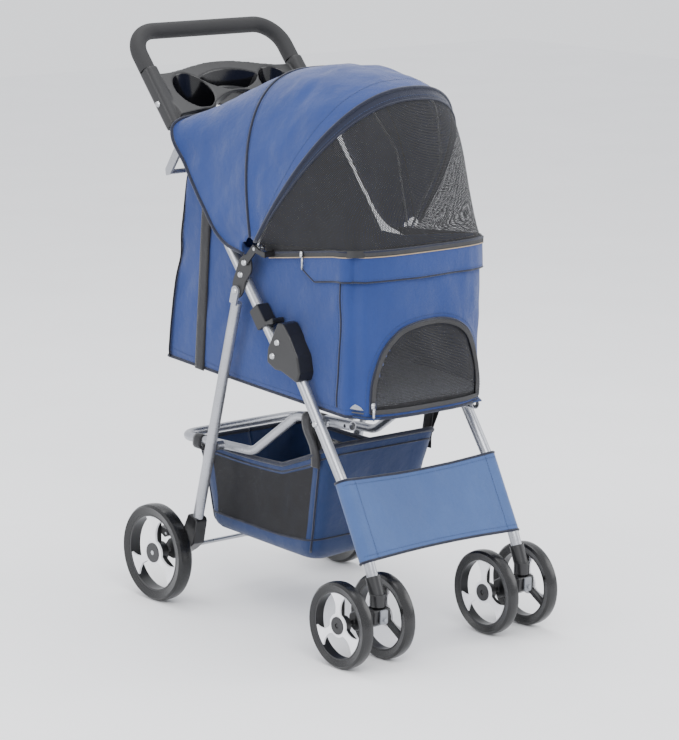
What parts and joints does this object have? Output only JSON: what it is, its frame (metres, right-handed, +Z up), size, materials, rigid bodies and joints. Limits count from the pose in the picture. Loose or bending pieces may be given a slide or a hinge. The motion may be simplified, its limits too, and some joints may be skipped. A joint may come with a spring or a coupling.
{
  "type": "pet stroller",
  "caption": "Folding pet stroller: zipped fabric cabin with mesh door and arched hood, storage basket, cup tray, bowed handle and swivelling front wheels",
  "frame": {"origin": "centre of the bounding box in plan, on the floor under the wheels", "axes": "+Z up; -Y the way the stroller rolls forward; +X the left of the person who pushes it"},
  "size_m": [0.45, 0.747, 1.0107],
  "materials": {
    "silver_tube": "satin silver-grey paint on steel tube",
    "steel": "zinc-plated",
    "black_plastic": "fine moulded grain",
    "grey_plastic": "fine moulded grain",
    "tray_plastic": "fine moulded grain",
    "grip_foam": "matte foam sleeve",
    "blue_canvas": "woven polyester",
    "light_canvas": "woven polyester",
    "navy_canvas": "woven polyester",
    "black_mesh": "knitted mesh",
    "fleece": "brushed fleece",
    "board": "hollow board",
    "spoke_white": "gloss moulded",
    "tyre_black": "gloss foam tyre"
  },
  "bodies": {
    "front_frame": {"front_leg_right": "silver_tube", "front_leg_left": "silver_tube", "knuckle_housing_right": "black_plastic", "knuckle_housing_left": "black_plastic", "frame_rivets": "steel", "caster_socket_right": "black_plastic", "caster_socket_left": "black_plastic", "foot_panel": "light_canvas"},
    "handle_frame": {"handle_tube": "silver_tube", "handle_grip": "grip_foam", "parent_tray": "tray_plastic", "handle_fasteners": "steel", "bracket_plate_right": "black_plastic", "bracket_plate_left": "black_plastic", "rear_brace": "silver_tube", "rim_bar": "black_plastic", "cabin_tub": "blue_canvas", "door_mesh": "black_mesh", "floor_board": "board", "floor_pad": "fleece", "canopy_hood": "blue_canvas"},
    "slider_lock_right": {"slider_lock_right": "black_plastic"},
    "slider_lock_left": {"slider_lock_left": "black_plastic"},
    "canopy_front_hoop": {"canopy_front_hoop": "steel", "window_mesh": "black_mesh"},
    "canopy_mid_hoop": {"canopy_mid_hoop": "steel"},
    "rear_legs": {"rear_leg_right": "silver_tube", "rear_leg_left": "silver_tube", "axle_bracket_right": "black_plastic", "axle_bracket_left": "black_plastic", "rear_axle": "steel"},
    "brake_right": {"brake_pedal_right": "black_plastic"},
    "brake_left": {"brake_pedal_left": "black_plastic"},
    "lower_frame": {"lower_tube": "silver_tube", "pivot_bushes": "steel", "basket": "navy_canvas"},
    "rear_wheel_right": {"rear_right_tire": "tyre_black", "rear_right_rim": "black_plastic", "rear_right_spokes": "spoke_white"},
    "caster_right": {"caster_body_right": "black_plastic"},
    "swivel_lock_right": {"swivel_lock_right": "grey_plastic"},
    "front_wheel_right_inner": {"front_right_inner_tire": "tyre_black", "front_right_inner_rim": "black_plastic", "front_right_inner_spokes": "spoke_white"},
    "front_wheel_right_outer": {"front_right_outer_tire": "tyre_black", "front_right_outer_rim": "black_plastic", "front_right_outer_spokes": "spoke_white"},
    "rear_wheel_left": {"rear_left_tire": "tyre_black", "rear_left_rim": "black_plastic", "rear_left_spokes": "spoke_white"},
    "caster_left": {"caster_body_left": "black_plastic"},
    "swivel_lock_left": {"swivel_lock_left": "grey_plastic"},
    "front_wheel_left_inner": {"front_left_inner_tire": "tyre_black", "front_left_inner_rim": "black_plastic", "front_left_inner_spokes": "spoke_white"},
    "front_wheel_left_outer": {"front_left_outer_tire": "tyre_black", "front_left_outer_rim": "black_plastic", "front_left_outer_spokes": "spoke_white"}
  },
  "joints": [
    {"name": "fold_hinge", "type": "hinge", "parent": "front_frame", "child": "handle_frame", "pos_m": [0, -0.0771, 0.4882], "axis": [-1, 0, 0], "range_deg": [0, 130], "deforming": ["cabin_tub", "door_mesh", "floor_board", "floor_pad", "basket"]},
    {"name": "rear_leg_hinge", "type": "hinge", "parent": "handle_frame", "child": "rear_legs", "pos_m": [0, 0.0281, 0.5844], "axis": [-1, 0, 0], "range_deg": [-85.6, 0]},
    {"name": "lower_frame_hinge", "type": "hinge", "parent": "front_frame", "child": "lower_frame", "pos_m": [0, -0.181, 0.388], "axis": [-1, 0, 0], "range_deg": [0, 82.3]},
    {"name": "slider_right", "type": "slide", "parent": "handle_frame", "child": "slider_lock_right", "axis": [0, 0.6437, 0.7653], "range_m": [0, 0.016]},
    {"name": "slider_left", "type": "slide", "parent": "handle_frame", "child": "slider_lock_left", "axis": [0, 0.6437, 0.7653], "range_m": [0, 0.016]},
    {"name": "canopy_hinge", "type": "hinge", "parent": "handle_frame", "child": "canopy_front_hoop", "pos_m": [0, -0.022, 0.664], "axis": [-1, 0, 0], "range_deg": [0, 68], "deforming": ["canopy_hood"]},
    {"name": "canopy_mid_hinge", "type": "hinge", "parent": "handle_frame", "child": "canopy_mid_hoop", "pos_m": [0, -0.022, 0.664], "axis": [-1, 0, 0], "range_deg": [0, 32]},
    {"name": "rear_wheel_right_spin", "type": "hinge", "parent": "rear_legs", "child": "rear_wheel_right", "pos_m": [-0.21, 0.2097, 0.0874], "axis": [1, 0, 0], "continuous": true},
    {"name": "brake_right_press", "type": "hinge", "parent": "rear_legs", "child": "brake_right", "pos_m": [-0.172, 0.222, 0.114], "axis": [-1, 0, 0], "range_deg": [0, 22]},
    {"name": "caster_right_swivel", "type": "hinge", "parent": "front_frame", "child": "caster_right", "pos_m": [-0.163, -0.3388, 0.11], "axis": [0, 0, 1], "continuous": true},
    {"name": "swivel_lock_right_slide", "type": "slide", "parent": "caster_right", "child": "swivel_lock_right", "axis": [0, 0, 1], "range_m": [0, 0.007]},
    {"name": "front_wheel_right_inner_spin", "type": "hinge", "parent": "caster_right", "child": "front_wheel_right_inner", "pos_m": [-0.1173, -0.2998, 0.074], "axis": [1, 0, 0], "continuous": true},
    {"name": "front_wheel_right_outer_spin", "type": "hinge", "parent": "caster_right", "child": "front_wheel_right_outer", "pos_m": [-0.2087, -0.2998, 0.074], "axis": [1, 0, 0], "continuous": true},
    {"name": "rear_wheel_left_spin", "type": "hinge", "parent": "rear_legs", "child": "rear_wheel_left", "pos_m": [0.21, 0.2097, 0.0874], "axis": [1, 0, 0], "continuous": true},
    {"name": "brake_left_press", "type": "hinge", "parent": "rear_legs", "child": "brake_left", "pos_m": [0.172, 0.222, 0.114], "axis": [-1, 0, 0], "range_deg": [0, 22]},
    {"name": "caster_left_swivel", "type": "hinge", "parent": "front_frame", "child": "caster_left", "pos_m": [0.163, -0.3388, 0.11], "axis": [0, 0, 1], "continuous": true},
    {"name": "swivel_lock_left_slide", "type": "slide", "parent": "caster_left", "child": "swivel_lock_left", "axis": [0, 0, 1], "range_m": [0, 0.007]},
    {"name": "front_wheel_left_inner_spin", "type": "hinge", "parent": "caster_left", "child": "front_wheel_left_inner", "pos_m": [0.1173, -0.2998, 0.074], "axis": [1, 0, 0], "continuous": true},
    {"name": "front_wheel_left_outer_spin", "type": "hinge", "parent": "caster_left", "child": "front_wheel_left_outer", "pos_m": [0.2087, -0.2998, 0.074], "axis": [1, 0, 0], "continuous": true}
  ],
  "couplings": [
    {"joint": "rear_leg_hinge", "follows": "fold_hinge", "ratio": -0.6566},
    {"joint": "lower_frame_hinge", "follows": "fold_hinge", "ratio": 0.6313},
    {"joint": "canopy_mid_hinge", "follows": "canopy_hinge", "ratio": 0.47}
  ]
}
